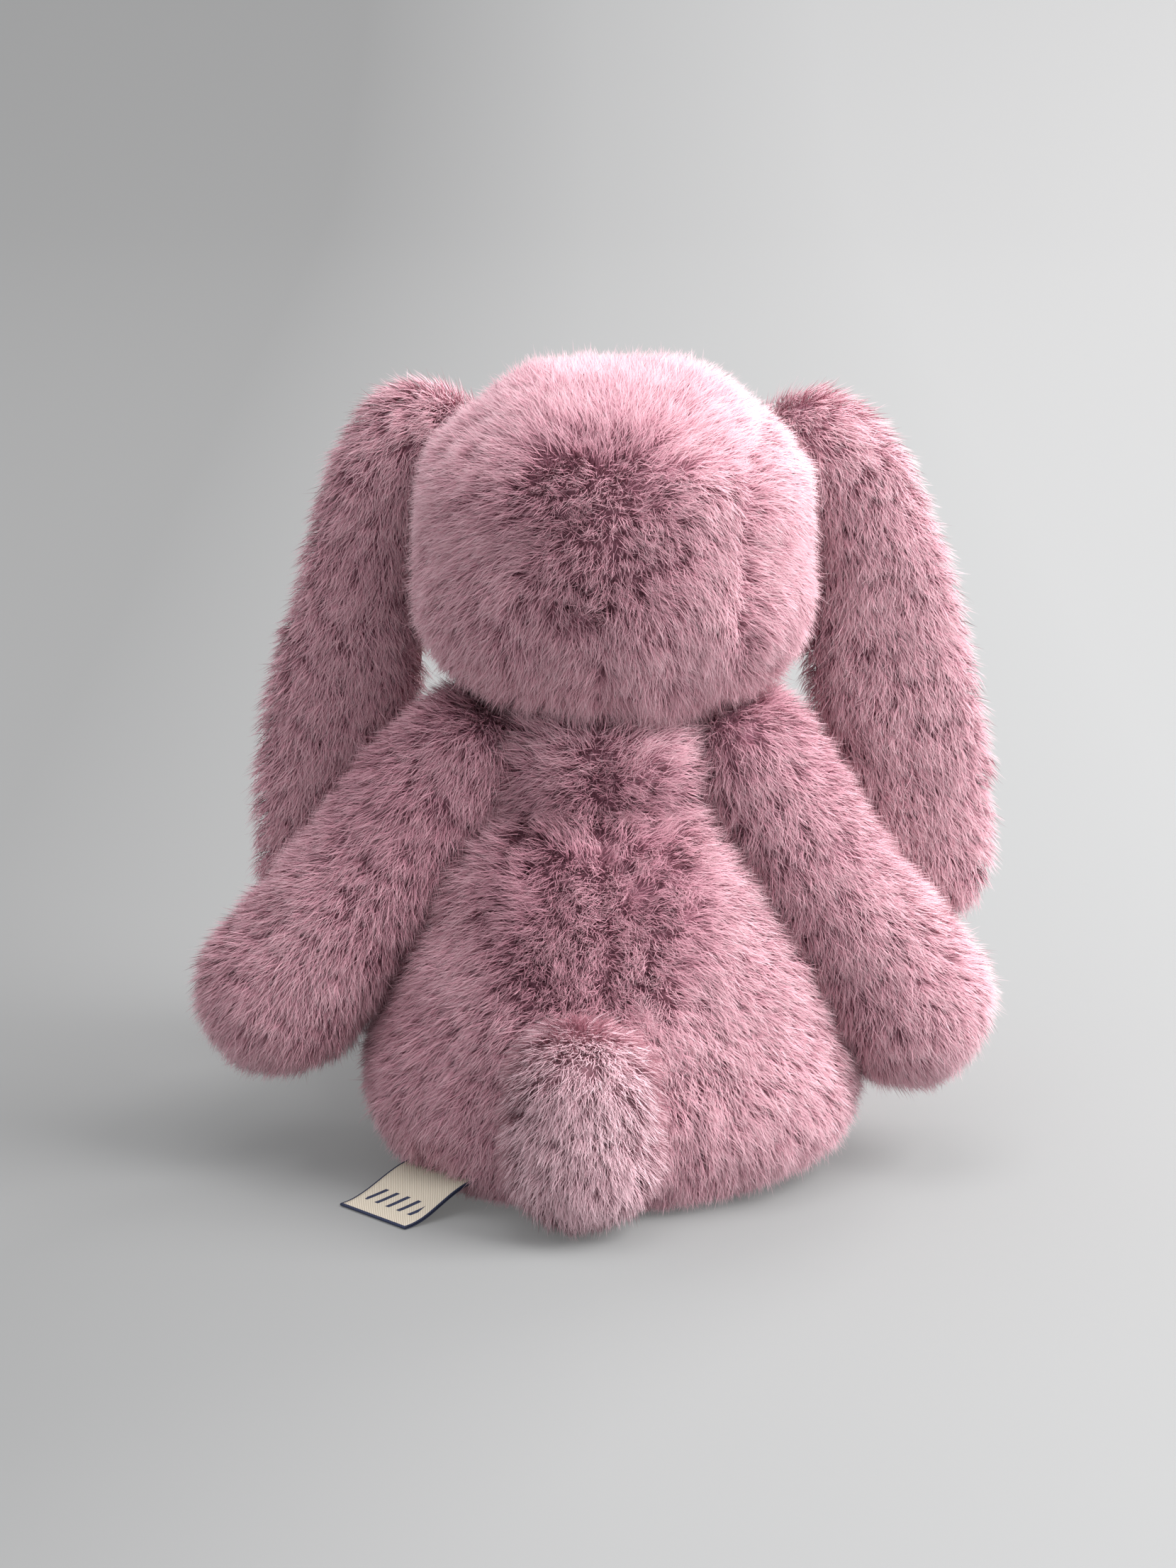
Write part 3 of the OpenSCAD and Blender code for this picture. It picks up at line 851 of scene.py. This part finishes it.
def label_path(across):
    """Out along the lower ply, round the fold and back along the upper ply, in label coordinates."""
    t = np.linspace(0.02, 1, 26)
    x = LABEL_R0 + LABEL_L * t
    z = label_height(t)
    low = np.stack([x, z - PLY_GAP], 1)
    bend = np.radians(np.linspace(-90, 90, 9)[1:-1])
    tip = np.stack([x[-1] + PLY_GAP * np.cos(bend), z[-1] + PLY_GAP * np.sin(bend)], 1)
    high = np.stack([x, z + PLY_GAP], 1)[::-1]
    line = np.concatenate([low, tip, high])
    sag = 0.25 * np.sin(across * 3.1 + line[:, 0] / 9)
    line[:, 1] = np.maximum(line[:, 1] + sag * smooth(line[:, 1], 1.2, 3), 0.14)
    return line


def label_material():
    """Cream twill tape with fine slanted ribs, navy edge threads and a plain band of navy slanted bars."""
    mat, nodes, links, bsdf = new_material("woven_label")
    uv = nodes.new("ShaderNodeUVMap")
    uv.uv_map = "UVMap"
    split = nodes.new("ShaderNodeSeparateXYZ")
    links.new(uv.outputs["UV"], split.inputs[0])
    across, along = split.outputs["X"], split.outputs["Y"]

    def math_node(op, a, b=None, c=None):
        node = nodes.new("ShaderNodeMath")
        node.operation = op
        for socket, value in zip(node.inputs, (a, b, c)):
            if value is None:
                continue
            if isinstance(value, (int, float)):
                socket.default_value = value
            else:
                links.new(value, socket)
        return node.outputs[0]

    # across and along are in mm
    slant = math_node("ADD", along, math_node("MULTIPLY", across, 0.9))
    rib = math_node("SINE", math_node("MULTIPLY", slant, 2 * math.pi / 0.62))
    weft = math_node("SINE", math_node("MULTIPLY", across, 2 * math.pi / 0.45))
    weave = math_node("ADD", math_node("MULTIPLY", rib, 0.35), math_node("MULTIPLY", weft, 0.15))
    weave = math_node("ADD", weave, 0.5)
    cream = ramp(nodes, [(0.1, (0.400, 0.330, 0.250)), (0.9, (0.760, 0.690, 0.580))])
    links.new(weave, cream.inputs["Fac"])
    edge = math_node("GREATER_THAN", math_node("ABSOLUTE", across), LABEL_W / 2 - 0.55)
    fold = math_node("LESS_THAN", math_node("ABSOLUTE", along), 0.7)
    slanted = math_node("SUBTRACT", across, math_node("MULTIPLY", along, 0.5))
    bars = math_node("FRACT", math_node("DIVIDE", slanted, 4.2))
    bar = math_node("LESS_THAN", bars, 0.34)
    band = math_node("MULTIPLY", math_node("GREATER_THAN", math_node("ABSOLUTE", along), 5.5),
                     math_node("LESS_THAN", math_node("ABSOLUTE", along), 11.0))
    inset = math_node("LESS_THAN", math_node("ABSOLUTE", across), LABEL_W / 2 - 3.2)
    navy = math_node("MULTIPLY", math_node("MULTIPLY", bar, band), inset)
    navy = math_node("MAXIMUM", navy, math_node("MAXIMUM", edge, fold))
    dark = ramp(nodes, [(0.1, (0.006, 0.009, 0.030)), (0.9, (0.030, 0.040, 0.095))])
    links.new(weave, dark.inputs["Fac"])
    mix = nodes.new("ShaderNodeMix")
    mix.data_type = "RGBA"
    links.new(navy, mix.inputs["Factor"])
    links.new(cream.outputs["Color"], mix.inputs[6])
    links.new(dark.outputs["Color"], mix.inputs[7])
    links.new(mix.outputs[2], bsdf.inputs["Base Color"])
    bump = nodes.new("ShaderNodeBump")
    bump.inputs["Strength"].default_value = 0.5
    bump.inputs["Distance"].default_value = 0.0002
    links.new(weave, bump.inputs["Height"])
    links.new(bump.outputs["Normal"], bsdf.inputs["Normal"])
    bsdf.inputs["Roughness"].default_value = 0.8
    return mat


def make_label():
    """One tape, folded in two at its free end and sewn in at the other."""
    rows = np.linspace(-0.5, 0.5, 15)
    lines = [label_path(r) for r in rows]
    a = math.radians(LABEL_TURN)
    out = np.array([math.cos(a), math.sin(a), 0])
    side = np.array([-math.sin(a), math.cos(a), 0])
    verts, uvs = [], []
    n = len(lines[0])
    for r, line in zip(rows, lines):
        run = np.concatenate([[0], np.cumsum(np.linalg.norm(np.diff(line, axis=0), axis=1))])
        run -= run[-1] / 2
        for (x, z), d in zip(line, run):
            verts.append(out * x + side * r * LABEL_W + np.array([0, 0, z]))
            uvs.append((r * LABEL_W, d))
    faces = [
        (i * n + j, (i + 1) * n + j, (i + 1) * n + j + 1, i * n + j + 1)
        for i in range(len(rows) - 1) for j in range(n - 1)
    ]
    obj = mesh_object("woven_label_tape", verts, faces, label_material())
    layer = obj.data.uv_layers.new(name="UVMap")
    for loop in obj.data.loops:
        layer.data[loop.index].uv = uvs[loop.vertex_index]
    thick = obj.modifiers.new("ply", "SOLIDIFY")
    thick.thickness = LABEL_PLY * MM
    thick.offset = 0
    dg = bpy.context.evaluated_depsgraph_get()
    obj.data = bpy.data.meshes.new_from_object(obj.evaluated_get(dg))
    obj.modifiers.clear()
    obj.data.polygons.foreach_set("use_smooth", np.ones(len(obj.data.polygons), bool))
    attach(obj, "torso")
    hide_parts("woven_label")


make_label()


# ---------------------------------------------------------------- stage, camera and light
def paper_material(left, middle, right, reach):
    """Seamless paper, a little darker towards +X as painted falloff of the key light, with a faint glow as
    painted light.
    """
    mat, nodes, links, bsdf = new_material("stage_paper")
    coord = nodes.new("ShaderNodeTexCoord")
    split = nodes.new("ShaderNodeSeparateXYZ")
    links.new(coord.outputs["Object"], split.inputs[0])
    span = nodes.new("ShaderNodeMapRange")
    span.inputs["From Min"].default_value = reach
    span.inputs["From Max"].default_value = -reach
    links.new(split.outputs["X"], span.inputs["Value"])
    colours = ramp(nodes, [(0.0, (left,) * 3), (0.5, (middle,) * 3), (1.0, (right,) * 3)])
    links.new(span.outputs["Result"], colours.inputs["Fac"])
    links.new(colours.outputs["Color"], bsdf.inputs["Base Color"])
    bsdf.inputs["Roughness"].default_value = 0.9
    bsdf.inputs["Specular IOR Level"].default_value = 0.1
    # painted light: the paper glows a little, though it is no lamp, which lifts the shadows on it
    bsdf.inputs["Emission Color"].default_value = (1, 1, 1, 1)
    bsdf.inputs["Emission Strength"].default_value = 0.11
    return mat


def make_stage():
    """A wide pale floor that sweeps up slowly in front of the bunny, far off."""
    start, radius, half_width = -2200, 2200, 5000
    profile = [(3500, 0), (start, 0)]
    for k in range(1, 21):
        a = math.radians(75 * k / 20)
        profile.append((start - radius * math.sin(a), radius - radius * math.cos(a)))
    verts = [(x, y, z) for y, z in profile for x in (-half_width, half_width)]
    faces = [(2 * i, 2 * i + 1, 2 * i + 3, 2 * i + 2) for i in range(len(profile) - 1)]
    floor = mesh_object("stage_sweep", verts, faces, paper_material(0.138, 0.215, 0.255, 0.2))
    floor.data.polygons.foreach_set("use_smooth", np.ones(len(faces), bool))


def area_light(name, at, aim, size, power, colour=(1, 1, 1)):
    light = bpy.data.lights.new(name, "AREA")
    light.shape = "RECTANGLE"
    light.size, light.size_y = size
    light.energy = power
    light.color = colour
    obj = bpy.data.objects.new(name, light)
    obj.location = at
    obj.rotation_mode = "QUATERNION"
    obj.rotation_quaternion = (Vector(aim) - Vector(at)).to_track_quat("-Z", "Y")
    bpy.context.scene.collection.objects.link(obj)


def make_camera():
    """Behind the bunny and a little above it, as in the photo."""
    cam = bpy.data.cameras.new("camera")
    cam.sensor_fit = "HORIZONTAL"
    cam.sensor_width = 36
    cam.lens = 139
    obj = bpy.data.objects.new("camera", cam)
    aim = Vector((0.0037, 0, 0.0983))
    e = math.radians(13)
    back = Vector((0, math.cos(e), math.sin(e)))
    obj.location = aim + back * 1.15
    obj.rotation_mode = "QUATERNION"
    obj.rotation_quaternion = (-back).to_track_quat("-Z", "Y")
    bpy.context.scene.collection.objects.link(obj)
    bpy.context.scene.camera = obj


make_stage()
make_camera()
area_light("key", (-2.8, 1.0, 2.6), (0, 0, 0.1), (3.0, 3.0), 280)
area_light("rim", (-2.0, -2.7, 1.5), (0, 0, 0.12), (1.4, 1.4), 90, (1.0, 0.97, 0.97))
area_light("top", (0.0, 0.4, 3.6), (0, 0, 0.1), (2.0, 2.0), 45)

world = bpy.data.worlds.new("world")
bpy.context.scene.world = world
world.use_nodes = True
world.node_tree.nodes["Background"].inputs["Color"].default_value = (0.86, 0.88, 0.9, 1)
world.node_tree.nodes["Background"].inputs["Strength"].default_value = 0.95

view = bpy.context.scene.view_settings
view.view_transform = "Standard"
view.look = "None"
